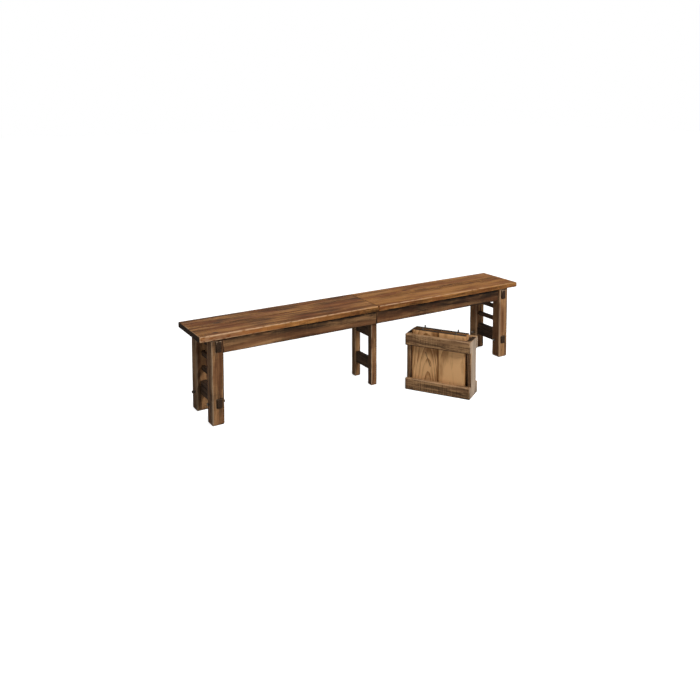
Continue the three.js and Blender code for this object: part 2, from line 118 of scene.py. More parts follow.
class BenchColours(bpy.types.PropertyGroup):
    """Colours of the bench's finishes."""
    seat_pale: colour("Seat, pale grain", "#996837", "Early wood of the waxed seat")
    seat_dark: colour("Seat, dark grain", "#482A15", "Stain that gathered in the seat's late wood")
    seat_tinge: colour("Seat, red patches", "#7C4522", "Where the seat took the stain redder")
    frame_pale: colour("Frame, pale grain", "#83603F", "Early wood of legs and aprons")
    frame_dark: colour("Frame, dark grain", "#2E1D12", "Stain in the late wood of the frame")
    frame_tinge: colour("Frame, red patches", "#663F26", "Where the frame took the stain redder")
    # Also the painted highlight on proud tenon tops and the painted light on the left legs' left
    # faces
    frame_worn_and_highlight: colour("Frame, worn arris", "#A58C72", "Greyed wood at the arrises of the legs")
    inner_pale: colour("Inner rails, pale grain", "#463426", "Rails and slats between the legs")
    inner_dark: colour("Inner rails, dark grain", "#1C130D", "Stain left to dry on the rails")
    crate_pale: colour("Crate, pale grain", "#93714F", "Sawn face of the crate's boards")
    crate_dark: colour("Crate, dark grain", "#33241A", "Stain in the saw marks of the crate")
    crate_tinge: colour("Crate, red patches", "#5A3F2C", "Where the crate took the stain redder")
    # Pale and grey of the crate's bare faces: sanded wood with painted light from the right
    crate_bare_lit_pale: colour("Crate ends, pale", "#A9947F", "Sanded bare ends of the crate")
    crate_bare_lit_grey: colour("Crate ends, grey", "#7E6F60", "Dust and old stain in the sanded ends")
    leaf_pale: colour("Leaf, pale grain", "#DFAE79", "Unfinished underside of the leaves")
    leaf_dark: colour("Leaf, dark grain", "#9A6C42", "Late wood of the unfinished underside")
    slide_pale: colour("Slide, pale grain", "#CDA874", "Planed hardwood of the slides")
    slide_dark: colour("Slide, dark grain", "#A37C4C", "Late wood of the slides")
    # Also the painted light on the leaves' outer ends
    worn: colour("Worn arris", "#C8A07A", "Wood where the stain is rubbed off")
    end_pale: colour("End grain, pale", "#4A3626", "Early wood of a sawn end")
    # Also the colour of gathered stain and of painted shade
    end_grain_and_shade_dark: colour("End grain, dark", "#1A120C", "Sawn end, which drinks the stain")
    peg: colour("Peg", "#4C4238", "Dark oak of the pegs")
    # The pale grey peg ends are a painted highlight
    peg_end: colour("Peg end", "#A8A29A", "Ends of the pegs, worn grey")
    steel: colour("Steel", "#A8A5A0", "Turned steel of pins and axle")
    blackened: colour("Black steel", "#6A635A", "Pins and ferrules of the joints")
    iron: colour("Iron", "#3B3633", "Heads of brads and screws")
    floor: colour("Floor", "#D2D2D2", "Pale studio floor")


class BenchSizes(bpy.types.PropertyGroup):
    """Sizes of the bench's surface and its small parts."""
    step: length("Surface step", 2.7 * MM, "Spacing of the points of a sawn board")
    fine_step: length("Fine surface step", 1.6 * MM, "Spacing of the points of a peg or rail")
    unevenness: length("Unevenness", 0.8 * MM, "How deep the sawn faces wander")
    arris_wear: length("Arris wear", 1.3 * MM, "How far the arrises are worn down")
    arris_band: length("Worn band", 5 * MM, "Width of the band along an arris that is worn down")
    rub_band: length("Rubbed band", 2.7 * MM, "Width of the band that is rubbed pale or dark")
    end_reach: length("End reach", 90 * MM, "How far the drying checks run in from a sawn end")
    stain_bleed: length("Stain bleed", 9 * MM, "How far stain crept onto a leaf's bare face")
    resin_reach: length("Resin reach", 2.6 * MM, "Half the width of a streak of resin in a leaf")
    pin_radius: length("Pin radius", 4 * MM, "Radius of the steel pins")
    pin_reach: length("Pin reach", 15 * MM, "How far a pin stands out")
    ferrule_radius: length("Ferrule radius", 6 * MM, "Radius of the steel ferrule round a pin")
    ferrule_height: length("Ferrule height", 1.2 * MM, "How far a ferrule stands proud")
    brad_radius: length("Brad radius", 1.7 * MM, "Radius of the brad heads in the crate")
    screw_radius: length("Screw radius", 4.5 * MM, "Radius of the screw heads in the cleats")


def chosen(name):
    """A colour as the user set it."""
    return tuple(getattr(bpy.context.scene.bench_colours, name))


def add(tree, kind, inputs=None, stops=None, **settings):
    """Adds a node with its settings, its values or links, and the stops of a colour ramp."""
    node = tree.nodes.new("ShaderNode" + kind)
    for key, value in settings.items():
        setattr(node, key, value)
    for key, value in (inputs or {}).items():
        if isinstance(value, bpy.types.NodeSocket):
            tree.links.new(value, node.inputs[key])
        else:
            node.inputs[key].default_value = value
    if stops:
        elements = node.color_ramp.elements
        while len(elements) < len(stops):
            elements.new(0.5)
        for element, (position, shade) in zip(elements, stops):
            element.position = position
            element.color = (*shade, 1)
    return node


def new_material(name):
    """A new material, its node tree and its shader."""
    material = bpy.data.materials.new(name)
    material.use_nodes = True
    tree = material.node_tree
    return material, tree, tree.nodes["Principled BSDF"]


def streaks(tree, grain, along, across, detail=3, output="Fac"):
    """Noise drawn out along the grain, in patches of that length and width in millimetres."""
    scale = (1 / (along * MM), 1 / (across * MM), 1 / (across * MM))
    drawn = add(tree, "Mapping", {"Vector": grain, "Scale": scale}).outputs[0]
    noise = add(tree, "TexNoise", {"Vector": drawn, "Scale": 1, "Detail": detail})
    return noise.outputs[output]


def weighed(tree, layers):
    """Adds up patterns, each times its weight."""
    total = 0
    for pattern, weight in layers:
        total = add(
            tree, "Math", {0: pattern, 1: weight, 2: total}, operation="MULTIPLY_ADD"
        ).outputs[0]
    return total


def layered(tree, base, layers):
    """Lays colours over a base one after the other, each where its mask is 1."""
    for mask, top in layers:
        base = add(
            tree, "Mix", {FACTOR: mask, FIRST: base, SECOND: top}, data_type="RGBA"
        ).outputs[MIXED]
    return base


def growth(tree, grain, knot_share):
    """Knots, and the grain bent round them: knot mask, and the bent grain coordinates."""
    knot_length, knot_width = 330, 120
    spacing = (1 / (knot_length * MM), 1 / (knot_width * MM), 0)
    drawn = add(tree, "Mapping", {"Vector": grain, "Scale": spacing}).outputs[0]
    cells = add(tree, "TexVoronoi", {"Vector": drawn, "Scale": 1}, voronoi_dimensions="2D")
    chance = add(tree, "SeparateColor", {"Color": cells.outputs["Color"]})
    there = add(
        tree, "Math", {0: chance.outputs["Red"], 1: 1 - knot_share}, operation="GREATER_THAN"
    ).outputs[0]
    away = cells.outputs["Distance"]
    core, bend = (
        add(
            tree, "MapRange", {"Value": away, "From Min": rim, "From Max": full, "To Max": there},
            interpolation_type="SMOOTHSTEP",
        ).outputs[0] for rim, full in ((0.08, 0.03), (0.45, 0))
    )
    sway = streaks(tree, grain, *PATTERNS["sway"], output="Color")
    centred = add(tree, "VectorMath", {0: sway, 1: (-0.5, -0.5, -0.5)}, operation="ADD").outputs[0]
    reach = 50 * MM
    swayed = add(
        tree, "VectorMath", {0: centred, 1: (0, reach, reach), 2: grain}, operation="MULTIPLY_ADD"
    ).outputs[0]
    swell = add(tree, "Math", {0: bend, 1: 0.3, 2: 1}, operation="MULTIPLY_ADD").outputs[0]
    bent = add(tree, "VectorMath", {0: swayed, "Scale": swell}, operation="SCALE").outputs[0]
    return core, bent


def rings(tree, bent, width, taper=0.0):
    """Growth rings round the pith, that many millimetres wide: pale early wood to dark late wood.

    With a taper the rings narrow along the trunk, which gives the arches of a flat-sawn board.
    """
    flattened = add(tree, "Mapping", {"Vector": bent, "Scale": (taper or 0.12, 1, 1)}).outputs[0]
    radians_per_unit = 20
    scale = 2 * math.pi / radians_per_unit / (width * MM)
    return add(
        tree, "TexWave",
        {"Vector": flattened, "Scale": scale, "Distortion": 5, "Detail": 2, "Detail Scale": 0.35,
         "Detail Roughness": 0.6},
        wave_type="RINGS", rings_direction="SPHERICAL" if taper else "X", wave_profile="SAW",
    ).outputs["Fac"]


def stained(tree, patterns, taken, pale, dark, saw_share, spread):
    """Stained face: dark where stain gathered in late wood and saw marks, pale where wiped."""
    layers = [
        (patterns["broad"], 0.9), (patterns["patch"], 0.5), (patterns["ring"], -0.14),
        (patterns["fibre"], 0.42), (patterns["saw"], saw_share),
    ]
    # The tone where every pattern is at its middle
    usual = sum(weight for _, weight in layers) / 2
    tone = weighed(tree, layers + [(taken, -1)])
    middle = tuple((a + b) / 2 for a, b in zip(pale, dark))
    bright = tuple(min(1, 1.35 * c) for c in pale)
    shades = ((-1, dark), (-0.35, middle), (0.25, pale), (0.8, bright))
    return add(
        tree, "ValToRGB", {"Fac": tone},
        stops=[(usual + share * spread, shade) for share, shade in shades],
    ).outputs["Color"]


def bare_wood(tree, grain, patterns, taken, pale, dark, ring_share):
    """Bare wood: soft growth rings and cloudy colour, more of it pale than dark."""
    cloud = streaks(tree, grain, *PATTERNS["cloud"])
    layers = [
        (patterns["ring"], -ring_share), (cloud, 0.7), (patterns["broad"], 0.5),
        (patterns["fibre"], 0.28),
    ]
    middle = sum(weight for _, weight in layers) / 2 - 0.06
    tone = weighed(tree, layers + [(taken, -1)])
    return add(
        tree, "ValToRGB", {"Fac": tone}, stops=[(middle - 0.12, dark), (middle + 0.12, pale)]
    ).outputs["Color"]


def drying_checks(tree, grain, patch, near_end):
    """Thin cracks that run in from the sawn ends."""
    line = streaks(tree, grain, *PATTERNS["split"])
    off_line = add(tree, "Math", {0: line, 1: 0.5}, operation="SUBTRACT").outputs[0]
    away = add(tree, "Math", {0: off_line}, operation="ABSOLUTE").outputs[0]
    some = add(
        tree, "MapRange",
        {"Value": patch, "From Min": 0.5, "From Max": 0.56, "To Max": near_end},
        interpolation_type="SMOOTHSTEP",
    ).outputs[0]
    return add(
        tree, "MapRange",
        {"Value": away, "From Min": 0.011, "From Max": 0.004, "To Max": some},
        interpolation_type="SMOOTHSTEP",
    ).outputs[0]


def sawn_wood(name, pale, dark, ring_width=7, taper=0.0, knot_share=0.22, streak=(260, 17),
              spread=0.26, saw_share=0.26, saw_depth=0.35, tinge=None, bare=None, ends=None,
              worn=None, rub_share=0.9, scuff=(60, 14), roughness=0.7, specular=0.1):
    """Stained pine off the saw: grain from the board's own coordinates, wear and painted light and
    shade from its own weights.

    Lengths are in millimetres. taper is how much the growth rings narrow along the trunk, and
    knot_share the chance of a knot. streak and scuff are the length and width of the stain's
    streaks and of rubbed patches; a small spread sets the streaks off more sharply. saw_share is
    how much stain the saw marks took, and rub_share how much of the worn colour shows at most.
    tinge is where the stain took redder. bare and ends are pale and dark colours of bare faces
    and end grain.
    """
    material, tree, shader = new_material(name)
    grain = add(tree, "Attribute", attribute_name="grain").outputs["Vector"]
    wear = add(tree, "Attribute", attribute_name="wear").outputs["Vector"]
    # The first value of wear is above 0 where the board is worn and where light is painted on, and
    # below 0 where stain gathered and where shade is painted on
    rubbed, end, near_end = add(tree, "SeparateXYZ", {"Vector": wear}).outputs
    taken = add(tree, "Attribute", attribute_name="taken").outputs["Fac"]
    knot, bent = growth(tree, grain, knot_share)
    patterns = {
        name: streaks(tree, grain, *PATTERNS[name]) for name in ("patch", "fibre", "saw")
    }
    patterns["ring"] = rings(tree, bent, ring_width, taper)
    patterns["broad"] = streaks(tree, grain, *streak)

    layers = []
    if tinge:
        took = streaks(tree, grain, *PATTERNS["redder"])
        redder = add(
            tree, "MapRange",
            {"Value": took, "From Min": 0.45, "From Max": 0.62, "To Max": 0.6},
            interpolation_type="SMOOTHSTEP",
        ).outputs[0]
        layers.append((redder, (*tinge, 1)))
    if bare:
        mask = add(tree, "Attribute", attribute_name="bare").outputs["Fac"]
        ring_share = 0.2 + taper / 2
        layers.append((mask, bare_wood(tree, grain, patterns, taken, *bare, ring_share)))

    scuffs = streaks(tree, grain, *scuff, 4)
    marks = add(
        tree, "MapRange",
        {"Value": scuffs, "From Min": 0.3, "From Max": 0.55, "To Max": rubbed},
        interpolation_type="SMOOTHSTEP",
    ).outputs[0]
    # Pale: wear, and painted light on the leaves' outer ends, the proud tenon tops and the left
    # legs' left faces
    rub = add(
        tree, "Math", {0: marks, 1: rub_share}, operation="MULTIPLY", use_clamp=True
    ).outputs[0]
    # Dark: stain gathered on far arrises, and painted shade: the seat's shadow on the tops of
    # aprons and legs, arrises turned from the light, and the legs' left faces
    gathered = weighed(tree, [(marks, -0.5), (rubbed, -0.4)])

    pores = streaks(tree, grain, *PATTERNS["pores"])
    end_tone = weighed(tree, [(patterns["ring"], 0.45), (pores, 0.6)])
    end_pale, end_grain_and_shade_dark = ends or (chosen("end_pale"), chosen("end_grain_and_shade_dark"))
    end_grain = add(
        tree, "ValToRGB", {"Fac": end_tone}, stops=[(0.3, end_grain_and_shade_dark), (0.85, end_pale)]
    ).outputs["Color"]
    check = drying_checks(tree, grain, patterns["patch"], near_end)
    # Colour of gathered stain, of drying checks and of painted shade
    stain_and_shade_dark = (*chosen("end_grain_and_shade_dark"), 1)
    layers += [
        (rub, (*(worn or chosen("worn")), 1)), (knot, (*(0.55 * c for c in dark), 1)),
        (end, end_grain), (gathered, stain_and_shade_dark), (check, stain_and_shade_dark),
    ]
    base = stained(tree, patterns, taken, pale, dark, saw_share, spread)
    tree.links.new(layered(tree, base, layers), shader.inputs["Base Color"])

    gloss = add(
        tree, "MapRange",
        {"Value": patterns["broad"], "From Min": 0.3, "From Max": 0.7, "To Min": roughness + 0.1,
         "To Max": roughness - 0.08},
    ).outputs[0]
    tree.links.new(gloss, shader.inputs["Roughness"])
    shader.inputs["Specular IOR Level"].default_value = specular
    height = weighed(tree, [
        (patterns["saw"], saw_depth), (patterns["fibre"], 0.12), (patterns["ring"], -0.14),
        (check, -1.2), (knot, 0.3),
    ])
    bump = add(tree, "Bump", {"Height": height, "Strength": 1, "Distance": MM})
    tree.links.new(bump.outputs[0], shader.inputs["Normal"])
    return material


def seat_wood():
    """Pine, rough sawn, stained walnut, sanded lightly and waxed: long streaks, a faint sheen."""
    return sawn_wood(
        "waxed_walnut_stained_pine", chosen("seat_pale"), chosen("seat_dark"), ring_width=8,
        streak=(380, 26), spread=0.2, saw_share=0.2, saw_depth=0.16, tinge=chosen("seat_tinge"),
        scuff=(26, 8), roughness=0.62, specular=0.06,
    )


def frame_wood():
    """The same pine left off the saw and wiped: duller, with the saw's marks across the grain."""
    return sawn_wood(
        "wiped_walnut_stained_pine", chosen("frame_pale"), chosen("frame_dark"), spread=0.22,
        saw_share=0.2, saw_depth=0.4, tinge=chosen("frame_tinge"), worn=chosen("frame_worn_and_highlight"),
        rub_share=0.75,
    )


def inner_wood():
    """Pine rails brushed with stain and not wiped: near black brown, little figure."""
    return sawn_wood(
        "brushed_walnut_stained_pine", chosen("inner_pale"), chosen("inner_dark"), ring_width=6,
        # Its worn colour on the proud tenon tops is a painted highlight
        saw_depth=0.4, worn=chosen("frame_worn_and_highlight"), rub_share=0.6, roughness=0.75,
    )


def crate_wood():
    """Crate boards straight off the band saw: grey brown, close saw marks, sanded bare ends with
    painted light.
    """
    return sawn_wood(
        "band_sawn_stained_pine", chosen("crate_pale"), chosen("crate_dark"), ring_width=6,
        knot_share=0.02, spread=0.32, saw_share=0.4, saw_depth=0.7, tinge=chosen("crate_tinge"),
        bare=(chosen("crate_bare_lit_pale"), chosen("crate_bare_lit_grey")), rub_share=0.6, roughness=0.76,
        specular=0.06,
    )


def leaf_wood():
    """Leaf boards: seat finish on top and edges, bare planed pine underneath, which looks tan."""
    return sawn_wood(
        "leaf_stained_pine_bare_underneath", chosen("seat_pale"), chosen("seat_dark"),
        ring_width=11, taper=0.15, knot_share=0.05, streak=(330, 42), saw_share=0.12,
        saw_depth=0.18, bare=(chosen("leaf_pale"), chosen("leaf_dark")), roughness=0.68,
    )


def peg_wood():
    """Riven oak pegs, dyed near black: long dull fibres, and pale grey ends that are a painted
    highlight.
    """
    base, end_highlight = chosen("peg"), chosen("peg_end")
    return sawn_wood(
        "black_dyed_oak", tuple(1.5 * c for c in base), tuple(0.5 * c for c in base),
        ring_width=2, saw_depth=0.1, ends=(end_highlight, tuple(0.5 * c for c in end_highlight)),
        rub_share=0.1, roughness=0.72,
    )


def slide_wood():
    """Planed hardwood slides rubbed with candle wax: clean, pale, straight grain along X.

    Its fibres are drawn coarser than real ones so that they show.
    """
    material, tree, shader = new_material("planed_waxed_maple")
    place = add(tree, "TexCoord").outputs["Object"]
    ring = rings(tree, place, 4)
    fibre = streaks(tree, place, 60, 1.6, 3)
    broad = streaks(tree, place, 300, 22, 2)
    tone = weighed(tree, [(ring, 0.3), (fibre, 0.4), (broad, 0.5)])
    grain = add(
        tree, "ValToRGB", {"Fac": tone},
        stops=[(0.35, chosen("slide_dark")), (0.8, chosen("slide_pale"))],
    ).outputs["Color"]
    tree.links.new(grain, shader.inputs["Base Color"])
    shader.inputs["Roughness"].default_value = 0.42
    height = weighed(tree, [(fibre, 0.08), (ring, 0.04)])
    bump = add(tree, "Bump", {"Height": height, "Strength": 1, "Distance": MM})
    tree.links.new(bump.outputs[0], shader.inputs["Normal"])
    return material


def metal(name, shade, roughness, turning):
    """Bare steel or iron with tool marks and a little tarnish.

    turning is the pitch of the tool marks in millimetres, coarser than real ones so that they show.
    """
    material, tree, shader = new_material(name)
    place = add(tree, "TexCoord").outputs["Object"]
    marks = streaks(tree, place, turning, turning * 12, 2)
    tarnish = streaks(tree, place, 9, 9, 3)
    dull = tuple(0.55 * c for c in shade)
    tint = add(
        tree, "ValToRGB", {"Fac": tarnish}, stops=[(0.3, dull), (0.6, shade)]
    ).outputs["Color"]
    tree.links.new(tint, shader.inputs["Base Color"])
    shader.inputs["Metallic"].default_value = 1
    gloss = add(
        tree, "MapRange",
        {"Value": tarnish, "From Min": 0.3, "From Max": 0.7, "To Min": roughness + 0.15,
         "To Max": roughness - 0.05},
    ).outputs[0]
    tree.links.new(gloss, shader.inputs["Roughness"])
    bump = add(tree, "Bump", {"Height": marks, "Strength": 0.4, "Distance": 0.05 * MM})
    tree.links.new(bump.outputs[0], shader.inputs["Normal"])
    return material


def black_steel():
    """Steel pins and ferrules blackened in oil: dark grey with a half gloss."""
    return metal("oil_blackened_steel", chosen("blackened"), 0.42, 0.6)


def turned_steel():
    """Mild steel turned and cut on a lathe and mill: grey, half gloss, fine tool marks."""
    return metal("turned_mild_steel", chosen("steel"), 0.34, 0.5)


def black_iron():
    """Iron brads and screws with mill scale: near black, dull."""
    return metal("scaled_iron", chosen("iron"), 0.5, 0.8)


FINISHES = {
    "seat_wood": seat_wood,
    "frame_wood": frame_wood,
    "inner_wood": inner_wood,
    "crate_wood": crate_wood,
    "leaf_wood": leaf_wood,
    "peg_wood": peg_wood,
    "slide_wood": slide_wood,
    "steel": turned_steel,
    "black_steel": black_steel,
    "iron": black_iron,
}
made_finishes = {}


def finish(piece, name):
    """Gives a piece its finish, made the first time it is asked for."""
    if name not in made_finishes:
        made_finishes[name] = FINISHES[name]()
    piece.data.materials.clear()
    piece.data.materials.append(made_finishes[name])


def finished(piece, name, look, body):
    """Gives a piece its finish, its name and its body."""
    finish(piece, look)
    piece.name = name
    piece.data.name = name
    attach(piece, body)


def select_only(piece):
    """Selects a piece and nothing else."""
    bpy.ops.object.select_all(action="DESELECT")
    piece.select_set(True)
    bpy.context.view_layer.objects.active = piece


def seed_of(node):
    """A number of its own for each node, the same on every run."""
    return 1 + sorted(frame["nodes"]).index(node)


def turn_of(node):
    """How far a node's board is turned about the vertical."""
    return CRATE_TURN if node.startswith(CRATE_FAMILIES) else 0.0


def coordinates(mesh, what="co"):
    """The points of a mesh, or their normals, one row each."""
    values = np.empty(len(mesh.vertices) * 3, np.float32)
    mesh.vertices.foreach_get(what, values)
    return values.reshape(-1, 3).astype(float)


def into_board(points, node):
    """Points or normals turned back so that the board lies square to the axes."""
    turn = turn_of(node)
    cos, sin = math.cos(turn), math.sin(turn)
    return points @ np.array([[cos, -sin, 0], [sin, cos, 0], [0, 0, 1]])


def store(mesh, name, values, kind):
    """Keeps a value per point of a mesh for its material to read."""
    attribute = mesh.attributes.new(name, kind, "POINT")
    field = "vector" if kind == "FLOAT_VECTOR" else "value"
    attribute.data.foreach_set(field, np.ascontiguousarray(values, dtype=np.float32).ravel())


def edit_all(piece):
    """Opens a piece in edit mode with all of it selected."""
    select_only(piece)
    bpy.ops.object.mode_set(mode="EDIT")
    bpy.ops.mesh.select_all(action="SELECT")


def merged_copy(node):
    """The CAD node's mesh as a piece of its own, its loose triangles joined."""
    piece = bpy.data.objects.new(node + "_copy", frame["nodes"][node].data.copy())
    bpy.context.scene.collection.objects.link(piece)
    edit_all(piece)
    bpy.ops.mesh.remove_doubles(threshold=0.01 * MM)
    bpy.ops.mesh.customdata_custom_splitnormals_clear()
    bpy.ops.object.mode_set(mode="OBJECT")
    return piece


def lengthen(piece, left, right):
    """Stretches a piece along X by a length to the left and one to the right."""
    xs = [vertex.co.x for vertex in piece.data.vertices]
    size = max(xs) - min(xs)
    still = min(xs) + size * left / (left + right)
    edit_all(piece)
    bpy.ops.transform.resize(value=(1 + (left + right) / size, 1, 1), center_override=(still, 0, 0))
    bpy.ops.object.mode_set(mode="OBJECT")


def cut_above(piece, height):
    """Cuts off what stands above a height, and closes the cut."""
    edit_all(piece)
    bpy.ops.mesh.bisect(plane_co=(0, 0, height), plane_no=UP, use_fill=True, clear_outer=True)
    bpy.ops.object.mode_set(mode="OBJECT")


def arris_points(piece, spacing):
    """Points along the outward edges of a piece."""
    shape = bmesh.new()
    shape.from_mesh(piece.data)
    points = []
    sharp = math.radians(20)
    for edge in shape.edges:
        if len(edge.link_faces) == 2 and edge.is_convex and edge.calc_face_angle() > sharp:
            start, stop = (vertex.co for vertex in edge.verts)
            count = max(1, round((stop - start).length / spacing))
            points.extend(start.lerp(stop, i / count) for i in range(count + 1))
    shape.free()
    return points


def even_out(piece, step):
    """Gives a piece an even net of points, that far apart."""
    remesh = piece.modifiers.new("remesh", "REMESH")
    remesh.mode = "VOXEL"
    remesh.voxel_size = step
    remesh.use_smooth_shade = True
    select_only(piece)
    bpy.ops.object.modifier_apply(modifier=remesh.name)


class Board:
    """A board with what is measured at each of its points before it is worn down.

    distance is from the arrises and inwards from the nearer end. end is 1 on the sawn ends, offset
    runs from -1 to 1 on each axis, and order lists the axes from the longest to the shortest.
    """

    def __init__(self, piece, node, arrises):
        self.piece = piece
        self.node = node
        self.places = into_board(coordinates(piece.data), node)
        self.normals = into_board(coordinates(piece.data, "normal"), node)
        self.low, self.high = self.places.min(0), self.places.max(0)
        self.extent = self.high - self.low
        self.centred = self.places - (self.low + self.high) / 2
        self.offset = self.centred / (self.extent / 2)
        self.order = np.argsort(-self.extent, kind="stable")
        tree = KDTree(len(arrises))
        for index, point in enumerate(arrises):
            tree.insert(point, index)
        tree.balance()
        self.distance = np.array([tree.find(vertex.co)[2] for vertex in piece.data.vertices])
        along = self.order[0]
        self.end = np.clip((np.abs(self.normals[:, along]) - 0.6) / 0.25, 0, 1)
        self.inwards = self.from_sides(along)

    def from_sides(self, axis):
        """How far each point lies from the nearer side along that axis."""
        place = self.places[:, axis]
        return np.minimum(place - self.low[axis], self.high[axis] - place)

    def facing(self, *sides):
        """1 where the surface faces one of these sides, down to 0 at 60 degrees away."""
        return np.clip(2 * (self.normals @ np.array(sides, float).T).max(1) - 1, 0, 1)

    def sink(self, group, weights, guide, size, depth):
        """Lets the weighted points sink by up to a depth, in soft dents drawn out by the guide."""
        members = self.piece.vertex_groups.new(name=group)
        for index in np.flatnonzero(weights > 0.02):
            members.add([int(index)], float(weights[index]), "REPLACE")
        texture = bpy.data.textures.new(group, "CLOUDS")
        texture.noise_scale = size
        texture.noise_depth = 2
        dents = self.piece.modifiers.new(group, "DISPLACE")
        dents.texture = texture
        dents.texture_coords = "OBJECT"
        dents.texture_coords_object = guide
        dents.vertex_group = group
        dents.mid_level = 0
        dents.strength = -depth
        select_only(self.piece)
        bpy.ops.object.modifier_apply(modifier=dents.name)
        bpy.data.textures.remove(texture)

    def wear_down(self, wear):
        """Lets the faces wander and rounds the arrises, from 0 for crisp to 1 for rough."""
        sizes = bpy.context.scene.bench_sizes
        face_dent, arris_dent = 22 * MM, 9 * MM
        seed = seed_of(self.node)
        guide = bpy.data.objects.new("grain_guide", None)
        bpy.context.scene.collection.objects.link(guide)
        guide.rotation_euler.z = turn_of(self.node)
        guide.location = (0.37 * seed, 0.61 * seed, 0.23 * seed)
        guide.scale[int(self.order[0])] = 4
        bpy.context.view_layer.update()
        near_arris = np.clip(1 - self.distance / sizes.arris_band, 0, 1)
        self.sink("faces", 1 - self.end, guide, face_dent, sizes.unevenness * wear)
        self.sink(
            "arrises", near_arris * (1 - 0.5 * self.end), guide, arris_dent, sizes.arris_wear * wear
        )
        bpy.data.objects.remove(guide)

    def mark(self, stain=0.0, pith=None, bare_sides=(), bleed=0.0, rub_side=(0, 0, 0),
             rubbed_face=None, proud_ends=0.0, resin=None, shaded=None):
        """Stores where the board's grain runs, where it is stained, bare and rubbed, and where
        light and shade are painted on it.

        Sides are directions. stain is how much more of it the board took than others. pith is
        where its middle lay from the pith: along, across and deep. bare_sides are faces without
        stain, onto which the stain crept by the length bleed. Arrises towards rub_side
        are rubbed pale; the far ones are darker, with gathered stain and with painted shade where
        they turn from the light. rubbed_face is a side whose face is lighter, the share at
        its middle, and how much more it is at its left or lower end; below 0 it is darker. It is
        wear on the seat's front edge, and painted light and shade on the legs' left faces and the
        leaves' outer ends. proud_ends is how far tenons stand out of the legs: only there is the
        board rubbed, and their pale tops are a painted highlight. resin is a dark streak on the
        bare face: where it starts and stops, along and across, from -1 to 1. shaded is painted
        shade: how much darker its top is under the seat, and how far down that goes.
        """
        sizes = bpy.context.scene.bench_sizes
        mesh = self.piece.data
        end = self.end
        if pith is None:
            random = np.random.default_rng(seed_of(self.node))
            pith = random.uniform((0, 0.03, 0.05), (4, 0.14, 0.16)) * random.choice((-1, 1), 3)
        bare = 0
        if bare_sides:
            crept = np.clip(self.from_sides(self.order[1]) / bleed, 0.35, 1) if bleed else 1
            bare = crept * self.facing(*bare_sides)
            store(mesh, "bare", bare, "FLOAT")
            end = end * (1 - bare)

        # Arrises towards the side are rubbed pale; the far ones are darker, gathered stain and
        # painted shade where they turn from the light
        towards = np.clip(self.offset @ np.array(rub_side, float) / 0.6, -1, 1)
        near_arris = np.clip(1.3 - self.distance / sizes.rub_band, 0, 1)
        rubbed = 1.4 * near_arris * (1 - bare) * towards
        # The pale tops of proud tenons are a painted highlight
        if proud_ends:
            rubbed = rubbed * (self.inwards < 1.2 * proud_ends)
            end = end * (1 - np.clip(rubbed, 0, 1))
        rubbed = rubbed * (1 - end)
        # A face painted lighter or darker: wear on the seat's front edge, painted light and shade
        # on the legs' left faces and the leaves' outer ends
        if rubbed_face:
            side, share, more = rubbed_face
            there = share - more * self.offset[:, self.order[0]]
            rubbed = rubbed + self.facing(side) * there
        if resin:
            start, stop = np.array(resin, float)
            way = stop - start
            face = self.order[:2]
            flat = self.offset[:, face] - start
            reached = np.clip(flat @ way / (way @ way), 0, 1)
            beside = (flat - reached[:, None] * way) * self.extent[face] / 2
            streak = np.clip(1.5 - np.linalg.norm(beside, axis=1) / sizes.resin_reach, 0, 1)
            rubbed = rubbed - 0.9 * bare * streak
        # Painted shadow of the seat: darker towards the top
        if shaded:
            share, reach = shaded
            down = self.high[2] - self.places[:, 2]
            rubbed = rubbed - share * np.clip(1 - down / reach, 0, 1)
        near_end = np.exp(-self.inwards / sizes.end_reach)
        store(mesh, "taken", np.full(len(self.places), stain), "FLOAT")
        store(mesh, "grain", self.centred[:, self.order] + pith, "FLOAT_VECTOR")
        # Its first value carries wear and painted light and shade together
        store(mesh, "wear", np.stack([rubbed, end, near_end], 1), "FLOAT_VECTOR")


def sawn_board(node, slot, step=None, wear=1.0, shape=None, tight=None, **marks):
    """A worn, rough-sawn board in place of a CAD board, with its grain, wear and painted light and
    shade for the finish.

    step is how far apart its points are. shape changes the copy before it is worn. Arrises for
    which tight holds stay crisp, because another board lies against them. marks go to Board.mark.
    """
    piece = merged_copy(node)
    if shape:
        shape(piece)
    arrises = arris_points(piece, spacing=2 * MM)
    if tight:
        arrises = [point for point in arrises if not tight(point)]
    coarser = 1
    even_out(piece, coarser * (step or bpy.context.scene.bench_sizes.step))
    board = Board(piece, node, arrises)
    board.wear_down(wear)
    board.mark(**marks)
    finished(piece, node + "_sawn", slot, BODY_OF[node])
    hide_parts(node)


def select_faces(piece, wanted):
    """In edit mode, selects the faces for which the test holds."""
    shape = bmesh.from_edit_mesh(piece.data)
    for face in shape.faces:
        face.select_set(bool(wanted(face)))
    shape.select_flush_mode()
    bmesh.update_edit_mesh(piece.data)


def round_bar(sides, radius, depth, middle, turn=(0, 0, 0)):
    """A round bar of that many sides, left in edit mode."""
    bpy.ops.object.select_all(action="DESELECT")
    bpy.ops.mesh.primitive_cylinder_add(
        vertices=sides, radius=radius, depth=depth, location=middle, rotation=turn
    )
    bpy.ops.object.transform_apply(location=True, rotation=True, scale=True)
    bpy.ops.object.mode_set(mode="EDIT")
    return bpy.context.object


